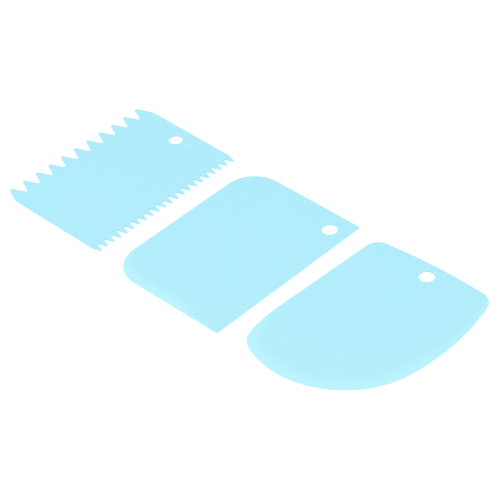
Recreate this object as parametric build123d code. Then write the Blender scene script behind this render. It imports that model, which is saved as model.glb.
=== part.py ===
from build123d import *
import os
from math import hypot

# Three flat plastic scrapers for icing and dough, lying side by side on a table.
# +X runs along the row from the comb to the bowl scraper, +Y towards the hanging holes, +Z up.
# The origin is in the middle of the row, on the table. Sizes are in millimetres, turns in degrees.

# Sheet that all three are moulded from
blade_thickness = 0.8
lip_thickness = 0.4  # of a working edge that is thinned to a lip

# Row on the table
comb_gap = 13.0  # from the fine tips to the straight scraper
bowl_gap = 11.4  # from the straight scraper to the bowl scraper's back
comb_shift = 3.2  # of the comb's middle from the straight scraper's, along +Y
bowl_shift = -0.3
comb_turn = -0.64

# Comb scraper, with teeth along both long edges
comb_width = 84.9  # from coarse tips to fine tips
comb_length = 118.8  # between the plain short edges
comb_corner_radius = 0.3  # where the end flanks meet the short edges
coarse_pitch = 10.82
coarse_vee_depth = 12.7  # of the sharp tooth profile, before its tips and roots are rounded
coarse_tip_radius = 1.2
coarse_root_radius = 1.1
fine_pitch = 5.44
fine_vee_depth = 8.5
fine_tip_radius = 0.54
fine_root_radius = 0.57
comb_hole_diameter = 8.7
comb_hole_inset = 10.8  # from the short edge to the hole's middle

# Straight scraper, a rectangle with two round corners and two almost sharp ones
straight_width = 89.4
straight_length = 125.0
round_corner_radius = 21.0
sharp_corner_radius = 0.8
straight_hole_diameter = 9.7
straight_hole_side_inset = 12.35
straight_hole_end_inset = 13.5
straight_lip_width = 8.5  # from the lip to the shoulder, where the full thickness starts
straight_corner_share = 0.8  # of that width, half way round the corner
straight_fade_shares = (0.59, 0.69)  # of the short edge, where the lip starts and stops fading
straight_rest_share = 0.3  # of the lip's width that is left beyond the fade

# Bowl scraper, a chain of tangent arcs that starts on its short upper edge and runs clockwise:
# upper edge, upper right corner, side, working curve, lower left corner, back.
# A straight back and one more corner close it.
bowl_radii = (367.0, 9.5, 167.3, 60.8, 14.9, 115.0)
bowl_turns = (9.6, 71.1, 24.3, 105.4, 54.2, 13.6)
bowl_start_slope = 6.0  # of the upper edge, where the first arc starts
bowl_last_corner_radius = 9.3
bowl_hole_diameter = 9.7
bowl_hole_inset = 10.3  # from the upper edge
bowl_hole_share = 0.424  # of the upper arc's length
bowl_lip_width = 10.5
bowl_lip_shares = (  # of that width, at the start, middle and end of each arc
    (0, 0, 0),
    (0, 0, 0),
    (0, 0.58, 0.85),
    (0.85, 1, 0.92),
    (0.92, 0.73, 0.6),
    (0.6, 0.39, 0),
)


def sharpness(pitch, vee_depth):
    # length that one millimetre of radius takes off the point of a sharp tooth
    return hypot(vee_depth, pitch / 2) / (pitch / 2) - 1


def tooth_row(pitch, vee_depth, tip_radius, root_radius):
    # sharp profile of a row of teeth that points to +X, its tips on X = 0, from -Y to +Y:
    # corner points and the radius of each corner
    teeth = round(comb_length / pitch)
    slope = vee_depth / (pitch / 2)
    tip = sharpness(pitch, vee_depth) * tip_radius
    first = -(teeth - 1) / 2 * pitch
    flank = tip - (first + comb_length / 2) * slope
    points = [(flank, -comb_length / 2)]
    radii = [comb_corner_radius]
    for tooth in range(teeth):
        y = first + tooth * pitch
        points.append((tip, y))
        radii.append(tip_radius)
        if tooth < teeth - 1:
            points.append((tip - vee_depth, y + pitch / 2))
            radii.append(root_radius)
    points.append((flank, comb_length / 2))
    radii.append(comb_corner_radius)
    return points, radii


def comb_scraper():
    fine_points, fine_radii = tooth_row(fine_pitch, fine_vee_depth, fine_tip_radius, fine_root_radius)
    coarse_points, coarse_radii = tooth_row(
        coarse_pitch, coarse_vee_depth, coarse_tip_radius, coarse_root_radius
    )
    points = [(x + comb_width / 2, y) for x, y in fine_points]
    points += [(-x - comb_width / 2, -y) for x, y in coarse_points]
    outline = FilletPolyline(*points, radius=fine_radii + coarse_radii, close=True)
    # the hole is half way between the sharp points of the two rows, before their tips are rounded
    fine_point = comb_width / 2 + max(x for x, y in fine_points)
    coarse_point = comb_width / 2 + max(x for x, y in coarse_points)
    hole_place = Pos((fine_point - coarse_point) / 2, comb_length / 2 - comb_hole_inset)
    sheet = make_face(outline) - hole_place * Circle(comb_hole_diameter / 2)
    return extrude(sheet, blade_thickness)


def shoulder(edge, insets):
    # an edge of a clockwise outline, moved inwards by its insets at start, middle and end
    points = []
    for place, inset in zip((0, 0.5, 1), insets):
        points.append(edge @ place + (edge % place).rotate(Axis.Z, -90) * inset)
    if edge.geom_type == GeomType.LINE:
        return Edge.make_line(points[0], points[2])
    return Edge.make_three_point_arc(*points)


def lipped_blade(edges, insets, hole_place, hole_diameter):
    # full thickness inside the shoulder line, falling evenly to the lip's thickness at the outline
    outline = Face(Wire(edges))
    inner = Face(Wire([shoulder(edge, inset) for edge, inset in zip(edges, insets)]))
    sections = [outline, Pos(Z=lip_thickness) * outline, Pos(Z=blade_thickness) * inner]
    hole = Pos(hole_place.X, hole_place.Y) * Cylinder(
        hole_diameter / 2, blade_thickness, align=(Align.CENTER, Align.CENTER, Align.MIN)
    )
    return loft(sections, ruled=True) - hole


def quarter(centre, radius, angle):
    # clockwise quarter turn about a centre, from an angle
    return CenterArc(centre, radius, angle, -90).edge()


def straight_scraper():
    x = straight_width / 2
    y = straight_length / 2
    big = round_corner_radius
    small = sharp_corner_radius
    lip_start = Vector(big - x, -y)
    lip_end = Vector(x - small, -y)
    stops = [lip_end + (lip_start - lip_end) * (1 - share) for share in straight_fade_shares]
    edges = [
        Edge.make_line((-x, big - y), (-x, y - big)),
        quarter((big - x, y - big), big, 180),
        Edge.make_line((big - x, y), (x - small, y)),
        quarter((x - small, y - small), small, 90),
        Edge.make_line((x, y - small), (x, small - y)),
        quarter((x - small, small - y), small, 0),
        Edge.make_line(lip_end, stops[1]),
        Edge.make_line(stops[1], stops[0]),
        Edge.make_line(stops[0], lip_start),
        quarter((big - x, big - y), big, 270),
    ]
    full = straight_lip_width
    rest = straight_rest_share * full
    lip_insets = [
        (0, rest / 2, rest),
        (rest, (rest + full) / 2, full),
        (full, full, full),
        (full, straight_corner_share * full, 0),
    ]
    insets = [(0, 0, 0)] * (len(edges) - len(lip_insets)) + lip_insets
    hole_place = Vector(x - straight_hole_side_inset, y - straight_hole_end_inset)
    return lipped_blade(edges, insets, hole_place, straight_hole_diameter)


def crossing(start, heading, point, direction):
    # where a line from start along heading meets the line through point along direction
    across = direction.rotate(Axis.Z, 90)
    return start + heading * ((point - start).dot(across) / heading.dot(across))


def bowl_scraper():
    start = Vector(0, 0)
    heading = Vector(1, 0).rotate(Axis.Z, bowl_start_slope)
    edges = []
    for radius, turn in zip(bowl_radii, bowl_turns):
        edges.append(JernArc(start, heading, radius, -turn).edge())
        start = edges[-1] @ 1
        heading = edges[-1] % 1
    # the straight back runs on from the last arc and meets the upper edge's line at the last corner
    upper = edges[0]
    corner = crossing(start, heading, upper @ 0, upper % 0)
    closing = FilletPolyline(start, corner, upper @ 0, radius=bowl_last_corner_radius)
    edges += closing.edges().sort_by(closing)
    insets = [tuple(share * bowl_lip_width for share in shares) for shares in bowl_lip_shares]
    insets += [(0, 0, 0)] * (len(edges) - len(insets))
    hole_place = upper @ bowl_hole_share + (upper % bowl_hole_share).rotate(Axis.Z, -90) * bowl_hole_inset
    return lipped_blade(edges, insets, hole_place, bowl_hole_diameter)


def beside(blade, side, x, y):
    # a blade moved so that its -X side (MIN) or +X side (MAX) is at x and its middle is at y
    box = blade.bounding_box()
    edge = box.min.X if side == Align.MIN else box.max.X
    return Pos(x - edge, y - box.center().Y) * blade


straight = straight_scraper()
comb = beside(Rot(Z=comb_turn) * comb_scraper(), Align.MAX, -straight_width / 2 - comb_gap, comb_shift)
bowl = beside(bowl_scraper(), Align.MIN, straight_width / 2 + bowl_gap, bowl_shift)
middle = Compound([comb, straight, bowl]).bounding_box().center()

os.makedirs("parts", exist_ok=True)
for name, blade in (("comb_scraper", comb), ("straight_scraper", straight), ("bowl_scraper", bowl)):
    placed = Pos(-middle.X, -middle.Y) * blade
    export_step(placed, f"parts/{name}.step")
    box = placed.bounding_box()
    print(name, "from", box.min, "to", box.max, "volume", placed.volume)
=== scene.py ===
import bpy
import numpy as np
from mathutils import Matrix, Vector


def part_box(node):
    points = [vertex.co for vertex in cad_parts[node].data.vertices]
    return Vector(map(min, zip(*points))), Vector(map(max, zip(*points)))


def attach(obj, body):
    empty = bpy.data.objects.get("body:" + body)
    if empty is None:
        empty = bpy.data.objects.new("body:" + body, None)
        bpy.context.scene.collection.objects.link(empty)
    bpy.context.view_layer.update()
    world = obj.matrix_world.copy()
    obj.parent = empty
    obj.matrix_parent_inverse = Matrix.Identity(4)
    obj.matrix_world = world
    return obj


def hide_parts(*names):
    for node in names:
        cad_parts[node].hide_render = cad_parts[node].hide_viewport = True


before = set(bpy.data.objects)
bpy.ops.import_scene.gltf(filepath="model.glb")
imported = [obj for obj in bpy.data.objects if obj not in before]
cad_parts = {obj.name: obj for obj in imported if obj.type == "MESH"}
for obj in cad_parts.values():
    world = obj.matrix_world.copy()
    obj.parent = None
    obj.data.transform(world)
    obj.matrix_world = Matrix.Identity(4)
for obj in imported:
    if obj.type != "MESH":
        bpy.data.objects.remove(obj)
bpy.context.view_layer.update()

print("frame loaded:", ", ".join(sorted(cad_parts)))

# Three flat scrapers for icing and dough, moulded in polypropylene, on a white table.
# Plates are worked out in millimetres and put into their meshes in metres.
metresPerMm = 0.001

plate = {
    "thickness": 0.8,
    "lipThickness": 0.4,  # at a working edge that is thinned
    "shoulderSoftness": 0.15,  # share of the lip's width over which it runs out into the flat
    "rounding": 0.1,  # of every rim, as the mould leaves it
    "roundingSteps": 5,
    "flatBorder": 0.15,  # past the rounding, keeps the flat's shading flat
    "lipKnots": 9,  # along an arc
    "lipBell": 11,  # points, the reach of the smoothing along the outline
    "leastLip": 0.2,  # width over which the rings stay apart where there's no lip
    "lipSteps": (0, 0.15, 0.3, 0.45, 0.6, 0.7, 0.8, 0.9, 1),  # across the lip and its run-out
    "flatRings": 4,  # between the lip and the hole
    "spacing": 1.0,  # between points on a straight edge
    "bend": np.radians(6),  # between points on an arc
    "arcSteps": 60,  # on each arc of an outline, before it is walked in even steps
    "toothArcSteps": 20,  # the same for a tooth's small arcs
}


def outwardSide(heading):
    # quarter turn right of the heading of an outline that runs counter-clockwise
    return np.stack((np.sin(heading), -np.cos(heading)), -1)


def roundedOutline(corners, radii, steps):
    # Each corner gives way to an arc. The arc's middle is radius / cos(turn / 2) from the corner on
    # its bisector, and a point is middle + radius * outward side, minus where the outline turns right.
    before = corners - np.roll(corners, 1, 0)
    after = np.roll(before, -1, 0)
    start = np.arctan2(before[:, 1], before[:, 0])
    turn = np.arctan2(after[:, 1], after[:, 0]) - start
    turn = (turn + np.pi) % (2 * np.pi) - np.pi
    arm = (radii * np.sign(turn))[:, None]
    middles = corners - arm / np.cos(turn / 2)[:, None] * outwardSide(start + turn / 2)
    heading = start[:, None] + turn[:, None] * np.linspace(0, 1, steps)
    points = middles[:, None] + arm[:, None] * outwardSide(heading)
    return points.reshape(-1, 2), np.unwrap(heading.ravel())


def evenSteps(points, heading):
    # walks once round in equal shares of length / spacing + turning / bend, so arcs get more points;
    # gives the points, their headings and the length walked so far
    points = np.vstack((points, points[:1]))
    heading = np.append(heading, heading[0] + 2 * np.pi)
    length = np.hypot(*np.diff(points, axis=0).T)
    share = length / plate["spacing"] + np.abs(np.diff(heading)) / plate["bend"]
    walked = np.append(0, np.cumsum(share))
    count = int(np.ceil(walked[-1]))
    stops = np.arange(count) * walked[-1] / count
    rows = (points[:, 0], points[:, 1], heading, np.append(0, np.cumsum(length)))
    x, y, heading, along = (np.interp(stops, walked, row) for row in rows)
    return np.stack((x, y), -1), heading, along


def lipKnots(start, length, shares):
    # A lip's shares of its full width and depth along one arc, each row after the length walked so
    # far. They lie on the parabola through those at the arc's start, middle and end.
    place = np.linspace(0, 1, plate["lipKnots"])
    weights = ((1 - place) * (1 - 2 * place), 4 * place * (1 - place), place * (2 * place - 1))
    return np.column_stack((start + length * place, np.stack(weights, -1) @ np.array(shares)))


def smoothLip(along, knots, full):
    # width and depth share at each point: straight between the knots by the length walked, and then
    # smoothed by a bell over the neighbours
    bell = np.hanning(plate["lipBell"])
    reach = len(bell) // 2
    parts = []
    for shares in knots.T[1:]:
        part = np.interp(along, knots[:, 0], shares)
        part = np.concatenate((part[-reach:], part, part[:reach]))
        parts.append(np.convolve(part, bell / bell.sum(), "valid"))
    return full * parts[0], parts[1]


def taper(inset, width, depth):
    # share of the lip's full depth taken off: falls evenly from the depth's share at the rim to 0 at
    # the shoulder, with a parabola instead of the kink there
    soft = plate["shoulderSoftness"]
    x = inset / np.maximum(width, plate["leastLip"])
    curve = np.maximum(1 + soft - x, 0) ** 2 / (4 * soft)
    return depth * np.where(x < 1 - soft, 1 - x, curve)


def placeBy(points, heading, node, turn=0.0):
    # turns an outline in degrees and moves it so that the middle of its box is the CAD node's
    angle = np.radians(turn)
    spin = np.array(((np.cos(angle), np.sin(angle)), (-np.sin(angle), np.cos(angle))))
    turned = points @ spin
    low, high = (np.array(corner)[:2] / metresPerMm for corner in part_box(node))
    move = (low + high) / 2 - (turned.min(0) + turned.max(0)) / 2
    print(node, "outline", turned.max(0) - turned.min(0), "CAD", high - low)
    return turned + move, heading + angle, lambda place: np.array(place) @ spin + move


def band(flat, height, thinned=0.0, rim=0.0):
    # rings of the section, five numbers for each point: X, Y, Z, how far the plate is thinned there,
    # and 1 on a rim
    return np.dstack([flat] + [np.broadcast_to(part, flat.shape[:2]) for part in (height, thinned, rim)])


def platePiece(name, points, heading, width, depth, innerLine, holeMiddle, holeRadius):
    # A plate with a hole is a ring: one section, closed on itself, carried once round the outline.
    # It starts under the rim, goes up the rim, over the lip and the flat, down the hole's wall and
    # back underneath. Near the rim a point is the outline point minus inset * outward side. From the
    # inner line on it lies straight towards the hole's middle.
    thick, rounding = plate["thickness"], plate["rounding"]
    removed = thick - plate["lipThickness"]
    out = outwardSide(heading)
    quarter = np.linspace(0, np.pi / 2, plate["roundingSteps"])[:, None]
    toWall, toFlat = rounding * (1 - np.sin(quarter)), rounding * (1 - np.cos(quarter))
    border = np.array([[rounding + plate["flatBorder"]]])
    lipEnd = np.maximum(width * (1 + plate["shoulderSoftness"]), border + plate["leastLip"])
    shares = np.array(plate["lipSteps"])[:, None] if width.any() else np.zeros((1, 1))
    lip = border + shares * (lipEnd - border)

    def fromRim(inset):
        return points - inset[..., None] * out

    atRim, across = taper(0, width, depth), taper(lip, width, depth)
    rows = [
        band(fromRim(border), 0, taper(border, width, depth)),
        band(fromRim(toWall), toFlat, atRim, 1),
        band(fromRim(toFlat), thick - removed * atRim - toWall, atRim, 1),
        band(fromRim(lip), thick - removed * across, across),
    ]
    if innerLine is None:
        innerLine = rows[-1][-1, :, :2]
    else:
        rows.append(band(innerLine[None], thick))
    way = (innerLine - holeMiddle) / np.hypot(*(innerLine - holeMiddle).T)[:, None]

    def fromHole(inset):
        return holeMiddle + (holeRadius + inset)[..., None] * way

    between = np.linspace(0, 1, plate["flatRings"] + 2)[1:-1, None, None]
    flat = innerLine + between * (fromHole(border) - innerLine)
    rows += [
        band(flat, thick),
        band(fromHole(border), thick),
        band(fromHole(toWall), thick - toFlat, 0, 1),
        band(fromHole(toFlat), toWall, 0, 1),
        band(fromHole(border), 0),
        band(flat[::-1], 0),
        band(innerLine[None], 0),
    ]
    grid = np.vstack(rows)

    rings, count = grid.shape[:2]
    ring, step = np.meshgrid(np.arange(rings), np.arange(count), indexing="ij")
    nextRing, nextStep = (ring + 1) % rings, (step + 1) % count
    quads = (ring * count + step, ring * count + nextStep,
             nextRing * count + nextStep, nextRing * count + step)
    mesh = bpy.data.meshes.new(name)
    mesh.from_pydata((grid[..., :3].reshape(-1, 3) * metresPerMm).tolist(), [],
                     np.stack(quads, -1).reshape(-1, 4).tolist())
    mesh.polygons.foreach_set("use_smooth", np.ones(rings * count, bool))
    for layer, values in (("thinned", grid[..., 3]), ("rim", grid[..., 4])):
        attribute = mesh.attributes.new(layer, "FLOAT", "POINT")
        attribute.data.foreach_set("value", values.astype(np.float32).ravel())
    mesh.update()
    piece = bpy.data.objects.new(name, mesh)
    bpy.context.scene.collection.objects.link(piece)
    print(name, "made:", rings, "rings of", count, "points")
    return piece


# Comb scraper: coarse teeth along one long edge, fine teeth along the other
comb = {
    "width": 84.9,
    "length": 118.8,
    "turn": -0.64,
    "coarse": {"pitch": 10.82, "veeDepth": 12.7, "tipRadius": 1.2, "rootRadius": 1.1},
    "fine": {"pitch": 5.44, "veeDepth": 8.5, "tipRadius": 0.54, "rootRadius": 0.57},
    "cornerRadius": 0.3,
    "holeRadius": 4.35,
    "holeInset": 10.8,
    "innerLines": (-29.0, 32.0),  # between the flat middle and the strips that run out into teeth
    "innerEnd": 58.4,
    "edgeSlack": 0.01,  # within which a point still lies on a short edge
}


def toothRow(teeth, cornerRadius):
    # zigzag from -Y to +Y with its rounded tips at half the width: a sharp tip stands out further by
    # (hypotenuse / half pitch - 1) * radius, and the first and last flank run on to the short edges
    half = teeth["pitch"] / 2
    sharper = np.hypot(teeth["veeDepth"], half) / half - 1
    tip = comb["width"] / 2 + sharper * teeth["tipRadius"]
    count = 2 * round(comb["length"] / teeth["pitch"]) - 1
    isRoot = np.arange(count) % 2 == 1
    y = (np.arange(count) - (count - 1) / 2) * half
    x = np.where(isRoot, tip - teeth["veeDepth"], tip)
    end = comb["length"] / 2
    endX = tip - (end - y[-1]) * teeth["veeDepth"] / half
    x = np.concatenate(([endX], x, [endX]))
    y = np.concatenate(([-end], y, [end]))
    radii = np.where(isRoot, teeth["rootRadius"], teeth["tipRadius"])
    radii = np.concatenate(([cornerRadius], radii, [cornerRadius]))
    return np.stack((x, y), -1), radii


def combInnerLine(points):
    # A point of a toothed side goes across to a straight inner line, its Y scaled to the line's length.
    # A point of a short edge goes to the line's end, its X scaled the same way.
    end = comb["length"] / 2 - comb["edgeSlack"]
    low, high = comb["innerLines"]
    short = np.abs(points[:, 1]) > end
    left, right = points[short, 0].min(), points[short, 0].max()
    x = np.where(points[:, 0] > 0, high, low)
    x = np.where(short, low + (points[:, 0] - left) / (right - left) * (high - low), x)
    y = np.where(short, np.sign(points[:, 1]), points[:, 1] / end) * comb["innerEnd"]
    return np.stack((x, y), -1)


def makeComb():
    fineCorners, fineRadii = toothRow(comb["fine"], comb["cornerRadius"])
    coarseCorners, coarseRadii = toothRow(comb["coarse"], comb["cornerRadius"])
    corners = np.vstack((fineCorners, -coarseCorners))
    radii = np.concatenate((fineRadii, coarseRadii))
    points, heading = evenSteps(*roundedOutline(corners, radii, plate["toothArcSteps"]))[:2]
    inner = combInnerLine(points)
    placed, heading, place = placeBy(points, heading, "comb_scraper", comb["turn"])
    # half way between the sharp points of the two rows
    middle = (fineCorners[:, 0].max() - coarseCorners[:, 0].max()) / 2
    hole = place((middle, comb["length"] / 2 - comb["holeInset"]))
    none = np.zeros(len(points))
    return platePiece("comb_blade", placed, heading, none, none, place(inner), hole, comb["holeRadius"])


# Straight scraper: a rectangle with two round corners, two almost sharp ones, and a lip that runs
# round the lower round corner and along the short edge
straight = {
    "width": 89.4,
    "length": 125.0,
    "roundCorner": 21.0,
    "sharpCorner": 0.8,
    "holeRadius": 4.85,
    "holeInsets": (12.35, 13.5),  # from the side and from the end
    "lipWidth": 8.5,
    # shares of the lip's width and depth, at the start, middle and end of the round corner
    "cornerShares": ((0.3, 0.15), (1, 0.8), (1, 1)),
    # place along the short edge, and the same two shares
    "edgeShares": ((0.59, 1, 1), (0.69, 0.45, 0.7), (1, 0, 0.3)),
}


def makeStraight():
    x, y = straight["width"] / 2, straight["length"] / 2
    corners = np.array(((-x, -y), (x, -y), (x, y), (-x, y)))
    big, small = straight["roundCorner"], straight["sharpCorner"]
    radii = np.array((big, small, small, big))
    points, heading, along = evenSteps(*roundedOutline(corners, radii, plate["arcSteps"]))
    # the walk starts with the round corner, a quarter turn, and goes on along the short edge
    corner, edge = big * np.pi / 2, straight["width"] - big - small
    onEdge = np.array(straight["edgeShares"]) * (edge, 1, 1) + (corner, 0, 0)
    knots = np.vstack((lipKnots(0, corner, straight["cornerShares"]), onEdge))
    width, depth = smoothLip(along, knots, straight["lipWidth"])
    placed, heading, place = placeBy(points, heading, "straight_scraper")
    side, end = straight["holeInsets"]
    hole = place((x - side, y - end))
    return platePiece("straight_blade", placed, heading, width, depth, None, hole, straight["holeRadius"])


# Bowl scraper: a chain of tangent arcs, clockwise from the left end of its upper edge:
# upper edge, upper right corner, side, working curve, lower left corner, back
bowl = {
    "radii": (367.0, 9.5, 167.3, 60.8, 14.9, 115.0),
    "turns": (9.6, 71.1, 24.3, 105.4, 54.2, 13.6),
    "startSlope": 6.0,
    "lastCorner": 9.3,
    "holeRadius": 4.85,
    "holeInset": 10.3,
    "holeShare": 0.424,
    "lipWidth": 10.5,
    # shares of the lip's width and depth, at the start, middle and end of each arc
    "lipShares": (
        ((0.25, 0), (0.65, 0.3), (0.93, 0.65)),  # back
        ((0.93, 0.65), (0.96, 0.9), (0.94, 1)),  # lower left corner
        ((0.94, 1), (1, 1), (0.88, 0.95)),  # working curve
        ((0.88, 0.95), (0.55, 0.55), (0.35, 0.7)),  # side
        ((0.35, 0.7), (0.27, 0.7), (0, 0)),  # upper right corner
    ),
}


def bowlCorners():
    # The tangents at the two ends of an arc meet in its corner, radius * tan(turn / 2) from each end.
    # So the way from one corner to the next is the sum of the two arcs' lengths of that kind. The
    # straight back meets the upper edge's line in the last corner.
    turns, radii = np.radians(bowl["turns"]), np.array(bowl["radii"])
    heading = np.radians(bowl["startSlope"]) - np.append(0, np.cumsum(turns))
    ways = np.stack((np.cos(heading), np.sin(heading)), -1)
    halves = radii * np.tan(turns / 2)
    lengths = halves + np.append(0, halves[:-1])
    corners = np.cumsum(lengths[:, None] * ways[:-1], 0)
    across = outwardSide(heading[0])
    back = corners[-1] - ways[-1] * (corners[-1] @ across) / (ways[-1] @ across)
    return np.vstack((corners, back)), np.append(radii, bowl["lastCorner"])


def makeBowl():
    corners, radii = bowlCorners()
    # counter-clockwise from the back arc
    order = np.array((5, 4, 3, 2, 1, 0, 6))
    points, heading, along = evenSteps(*roundedOutline(corners[order], radii[order], plate["arcSteps"]))
    # the walk starts with the back arc, and each arc is radius * turn long
    knots, walked = [], 0.0
    for arc, shares in zip(order, bowl["lipShares"]):
        length = radii[arc] * np.radians(bowl["turns"][arc])
        knots.append(lipKnots(walked, length, shares))
        walked += length
    width, depth = smoothLip(along, np.vstack(knots), bowl["lipWidth"])
    slope = np.radians(bowl["startSlope"])
    angle = slope - np.radians(bowl["turns"][0]) * bowl["holeShare"]
    middle = bowl["radii"][0] * np.array((np.sin(slope), -np.cos(slope)))
    hole = middle - (bowl["radii"][0] - bowl["holeInset"]) * np.array((np.sin(angle), -np.cos(angle)))
    placed, heading, place = placeBy(points, heading, "bowl_scraper")
    return platePiece("bowl_blade", placed, heading, width, depth, None, place(hole), bowl["holeRadius"])


# Material
polypropylene = {
    "body": "#AFEAF9",  # pale cyan, the lit end of the painted shade, towards -Y
    "bodyShaded": "#AAE8FA",  # painted shade: the same plastic darker towards +Y, a painted fall-off of the light along the row
    "fade": (-75.0, 75.0),  # mm along the painted shade's way, from the lit colour to the shaded one
    "fadeWay": (-0.45, 1.0, 0.0),  # mostly along Y, and a little towards the comb
    "cloudShare": 0.12,  # of that span, which the pigment's clouds add or take
    "shoulder": "#B1EBFB",  # painted see-through light: where the plate begins to thin, the table's white painted in as it first shows through
    "shoulderEnd": 0.4,  # thinned by so much, the shoulder's colour is reached
    "lip": "#B8F0FC",  # thinned to half: painted see-through light of the white table under the thin plastic
    "rim": "#B6EEFB",  # painted light: the rims lighter, standing in for light that leaves sideways through the cut edge
    "rimLightStrength": 0.5,
    "gatePlace": (-96.3, 52.8, 0.8),  # mm, beside the comb's hole, where the plastic entered the mould
    "gateSize": 2.2,  # mm, radius of the shallow mark that it left, painted with the lip's see-through light
    # noise: its size in mm, its layers of finer detail, and the part of its range that is used
    "clouds": {"size": 70.0, "layers": 3.0, "range": (0.35, 0.65)},  # of the pigment
    "patches": {"size": 9.0, "layers": 4.0, "range": (0.3, 0.7)},  # duller and glossier, of the mould
    # the real spark-eroded grain is about 0.1 mm, drawn coarser to show
    "grain": {"size": 0.5, "layers": 2.0},
    "grainDepth": 0.002,  # mm
    "roughness": (0.38, 0.46),
    "ior": 1.49,
    "scatter": 0.3,
    "scatterDepths": (0.2, 0.3, 0.35),  # mm
}


def linearColour(code):
    # sRGB hex to linear light: c / 12.92 up to 0.04045, ((c + 0.055) / 1.055) ** 2.4 above
    values = np.array([int(code[i:i + 2], 16) for i in (1, 3, 5)]) / 255
    linear = np.where(values <= 0.04045, values / 12.92, ((values + 0.055) / 1.055) ** 2.4)
    return (*linear.tolist(), 1.0)


def addNode(tree, kind, inputs, **settings):
    # a node with its own settings; an input is a fixed value or another node's output
    node = tree.nodes.new("ShaderNode" + kind)
    for name, value in settings.items():
        setattr(node, name, value)
    for socket, value in inputs.items():
        if isinstance(value, bpy.types.NodeSocket):
            tree.links.new(value, node.inputs[socket])
        else:
            node.inputs[socket].default_value = value
    return node


def perMetre(size):
    # scale that makes a pattern's cells this many millimetres
    return 1 / (size * metresPerMm)


def makePolypropylene():
    # moulded polypropylene: satin and a little cloudy, with painted light at its rims and where it is thin,
    # and painted shade towards +Y
    look = polypropylene
    material = bpy.data.materials.new("moulded_polypropylene")
    material.use_nodes = True
    tree = material.node_tree
    tree.nodes.clear()
    place = addNode(tree, "TexCoord", {}).outputs["Object"]
    cloud, patch, grain = (
        addNode(tree, "TexNoise", {"Vector": place, "Scale": perMetre(look[noise]["size"]),
                                   "Detail": look[noise]["layers"]}).outputs["Fac"]
        for noise in ("clouds", "patches", "grain"))
    lipped = addNode(tree, "Attribute", {}, attribute_name="thinned").outputs["Fac"]
    rim = addNode(tree, "Attribute", {}, attribute_name="rim").outputs["Fac"]
    # thinned by the lip, or by the gate's mark, which falls from 1 in its middle to 0 at its radius
    gatePlace = [value * metresPerMm for value in look["gatePlace"]]
    away = addNode(tree, "VectorMath", {0: place, 1: gatePlace}, operation="DISTANCE")
    gate = addNode(tree, "MapRange", {0: away.outputs["Value"], 1: look["gateSize"] * metresPerMm, 2: 0.0},
                   interpolation_type="SMOOTHSTEP")
    thinned = addNode(tree, "Math", {0: lipped, 1: gate.outputs[0]}, operation="MAXIMUM").outputs[0]

    # share of the painted shade's colour = place along its way + clouds, kept within 0 and 1 by the mix
    start, end = (value * metresPerMm for value in look["fade"])
    along = addNode(tree, "VectorMath", {0: place, 1: look["fadeWay"]}, operation="DOT_PRODUCT")
    fade = addNode(tree, "MapRange", {0: along.outputs["Value"], 1: start, 2: end})
    low, high = look["clouds"]["range"]
    clouds = addNode(tree, "MapRange", {0: cloud, 1: low, 2: high, 3: -look["cloudShare"],
                                        4: look["cloudShare"]})
    shadeShare = addNode(tree, "Math", {0: fade.outputs[0], 1: clouds.outputs[0]}, operation="ADD")
    # painted shade: the body colour darkens along the way, as if the light fell off
    body = addNode(tree, "Mix", {0: shadeShare.outputs[0], 6: linearColour(look["body"]),
                                 7: linearColour(look["bodyShaded"])}, data_type="RGBA")
    # the body's colour gives way to the shoulder's, and then evenly to the lip's: painted see-through
    # light, lighter as the plate thins
    first = addNode(tree, "MapRange", {0: thinned, 2: look["shoulderEnd"]})
    shoulder = addNode(tree, "Mix", {0: first.outputs[0], 6: body.outputs[2],
                                     7: linearColour(look["shoulder"])}, data_type="RGBA")
    lip = addNode(tree, "Mix", {0: thinned, 6: shoulder.outputs[2], 7: linearColour(look["lip"])},
                  data_type="RGBA")
    # painted light on the blunt rims, where no lip thins them
    blunt = addNode(tree, "Math", {0: 1.0, 1: thinned}, operation="SUBTRACT")
    rimLightShare = addNode(tree, "Math", {0: rim, 1: blunt.outputs[0]}, operation="MULTIPLY")
    rimLightShare = addNode(tree, "Math", {0: rimLightShare.outputs[0], 1: look["rimLightStrength"]}, operation="MULTIPLY")
    colour = addNode(tree, "Mix", {0: rimLightShare.outputs[0], 6: lip.outputs[2], 7: linearColour(look["rim"])},
                     data_type="RGBA")

    low, high = look["patches"]["range"]
    glossy, dull = look["roughness"]
    gloss = addNode(tree, "MapRange", {0: patch, 1: low, 2: high, 3: glossy, 4: dull})
    bump = addNode(tree, "Bump", {"Height": grain, "Strength": 1.0,
                                  "Distance": look["grainDepth"] * metresPerMm})
    shader = addNode(tree, "BsdfPrincipled", {
        "Base Color": colour.outputs[2],
        "Roughness": gloss.outputs[0],
        "Normal": bump.outputs[0],
        "IOR": look["ior"],
        "Subsurface Weight": look["scatter"],
        "Subsurface Radius": look["scatterDepths"],
        "Subsurface Scale": metresPerMm,
    })
    addNode(tree, "OutputMaterial", {"Surface": shader.outputs[0]})
    return material


plastic = makePolypropylene()
print("material made:", plastic.name)

for make, node, body in ((makeComb, "comb_scraper", "comb"), (makeStraight, "straight_scraper", "straight"),
                         (makeBowl, "bowl_scraper", "bowl")):
    piece = make()
    piece.data.materials.append(plastic)
    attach(piece, body)
    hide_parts(node)

# Table, light and camera; the sizes of floor and lamp and the lamp's place are in metres
studio = {
    "floorSize": 6.0,
    "floorDrop": 0.02,  # mm under the plates, so that the two faces don't lie in one plane
    "floorColour": "#F8F8F8",
    "floorWhite": 0.2,  # added for the camera alone
    "ambient": 0.885,  # light from all round; the camera sees it as 1
    "lampPlace": (0.12, -0.35, 1.9),
    "lampSize": 1.4,
    "lampPower": 6.5,
}
camera = {
    "place": (803.53, -799.07, 958.61),  # mm
    "azimuth": 44.883,
    "elevation": 40.205,
    "roll": 2.773,
    "focal": 2481.5,  # pixels
    "pixels": 500,  # across the picture
    "sensor": 36.0,  # mm
    "reach": 20.0,  # metres, beyond the floor's far edge
}


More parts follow.
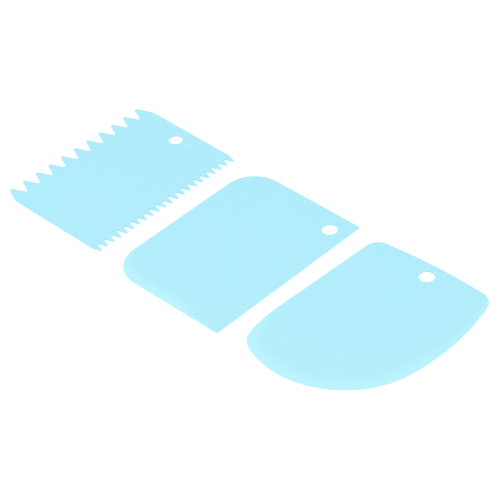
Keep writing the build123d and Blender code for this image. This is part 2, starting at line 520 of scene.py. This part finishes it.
def seenByEye(tree):
    # 1 for rays from the camera, from gloss and through glass, 0 for the light that falls on things
    path = addNode(tree, "LightPath", {})
    first = addNode(tree, "Math", {0: path.outputs["Is Camera Ray"], 1: path.outputs["Is Glossy Ray"]},
                    operation="MAXIMUM")
    return addNode(tree, "Math", {0: first.outputs[0], 1: path.outputs["Is Transmission Ray"]},
                   operation="MAXIMUM").outputs[0]


def makeFloor():
    # a square, in white paper: matt, with shadows, and as white as the room where none falls
    half = studio["floorSize"] / 2
    drop = -studio["floorDrop"] * metresPerMm
    mesh = bpy.data.meshes.new("white_table")
    corners = [(x, y, drop) for x, y in ((-half, -half), (half, -half), (half, half), (-half, half))]
    mesh.from_pydata(corners, [], [(0, 1, 2, 3)])
    floor = bpy.data.objects.new("white_table", mesh)
    bpy.context.scene.collection.objects.link(floor)
    material = bpy.data.materials.new("white_paper")
    material.use_nodes = True
    tree = material.node_tree
    tree.nodes.clear()
    matt = addNode(tree, "BsdfDiffuse", {"Color": linearColour(studio["floorColour"])})
    strength = addNode(tree, "Math", {0: seenByEye(tree), 1: studio["floorWhite"]}, operation="MULTIPLY")
    white = addNode(tree, "Emission", {"Strength": strength.outputs[0]})
    both = addNode(tree, "AddShader", {0: matt.outputs[0], 1: white.outputs[0]})
    addNode(tree, "OutputMaterial", {"Surface": both.outputs[0]})
    mesh.materials.append(material)


def makeLight():
    # even white light from all round, and a soft square lamp above
    world = bpy.data.worlds.new("soft_room")
    bpy.context.scene.world = world
    world.use_nodes = True
    tree = world.node_tree
    tree.nodes.clear()
    strength = addNode(tree, "MapRange", {0: seenByEye(tree), 3: studio["ambient"], 4: 1.0})
    room = addNode(tree, "Background", {"Color": (1, 1, 1, 1), "Strength": strength.outputs[0]})
    addNode(tree, "OutputWorld", {"Surface": room.outputs[0]})
    light = bpy.data.lights.new("softbox", "AREA")
    light.size = studio["lampSize"]
    light.energy = studio["lampPower"]
    lamp = bpy.data.objects.new("softbox", light)
    lamp.location = studio["lampPlace"]
    bpy.context.scene.collection.objects.link(lamp)


def makeCamera():
    # It looks along (-sin azimuth, cos azimuth) * cos elevation and down by sin elevation. The columns
    # of its turn are right, up and back, after a roll about the way it looks.
    azimuth, elevation, roll = (np.radians(camera[key]) for key in ("azimuth", "elevation", "roll"))
    forward = np.array((-np.sin(azimuth) * np.cos(elevation), np.cos(azimuth) * np.cos(elevation),
                        -np.sin(elevation)))
    right = np.array((np.cos(azimuth), np.sin(azimuth), 0))
    down = np.cross(forward, right)
    across = np.cos(roll) * right + np.sin(roll) * down
    up = np.sin(roll) * right - np.cos(roll) * down
    data = bpy.data.cameras.new("photo_view")
    data.sensor_width = camera["sensor"]
    data.lens = camera["sensor"] * camera["focal"] / camera["pixels"]
    data.clip_end = camera["reach"]
    view = bpy.data.objects.new("photo_view", data)
    matrix = np.eye(4)
    matrix[:3, :3] = np.stack((across, up, -forward), 1)
    matrix[:3, 3] = np.array(camera["place"]) * metresPerMm
    bpy.context.scene.collection.objects.link(view)
    view.matrix_world = matrix.T.tolist()
    bpy.context.scene.camera = view


makeFloor()
makeLight()
makeCamera()
bpy.context.scene.view_settings.view_transform = "Standard"
print("table, light and camera set")
